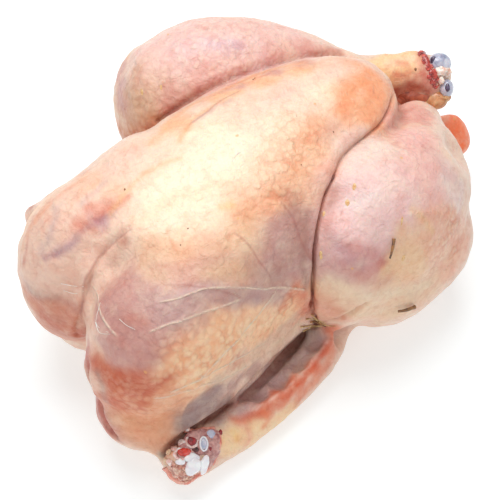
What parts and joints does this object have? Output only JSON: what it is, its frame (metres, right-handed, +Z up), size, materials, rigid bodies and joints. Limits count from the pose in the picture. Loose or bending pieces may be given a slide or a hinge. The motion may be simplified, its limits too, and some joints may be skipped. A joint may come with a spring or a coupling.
{
  "type": "whole raw chicken",
  "caption": "Whole raw oven-ready chicken lying on its back, legs folded beside the breast, with feet, neck and wing hands removed; one solid to cook, dress or stack in a scene.",
  "frame": {"origin": "on the table, under the middle of the bird's box", "axes": "+X from the neck end to the tail, -Y the bird's right side, +Z up through the breast"},
  "size_m": [0.2264, 0.1682, 0.0995],
  "materials": {
    "skin": "moist raw poultry skin, pale pink and cream with yellow fat and orange-red edges, soft sheen"
  },
  "bodies": {
    "root": {"chicken": "skin"}
  },
  "joints": []
}
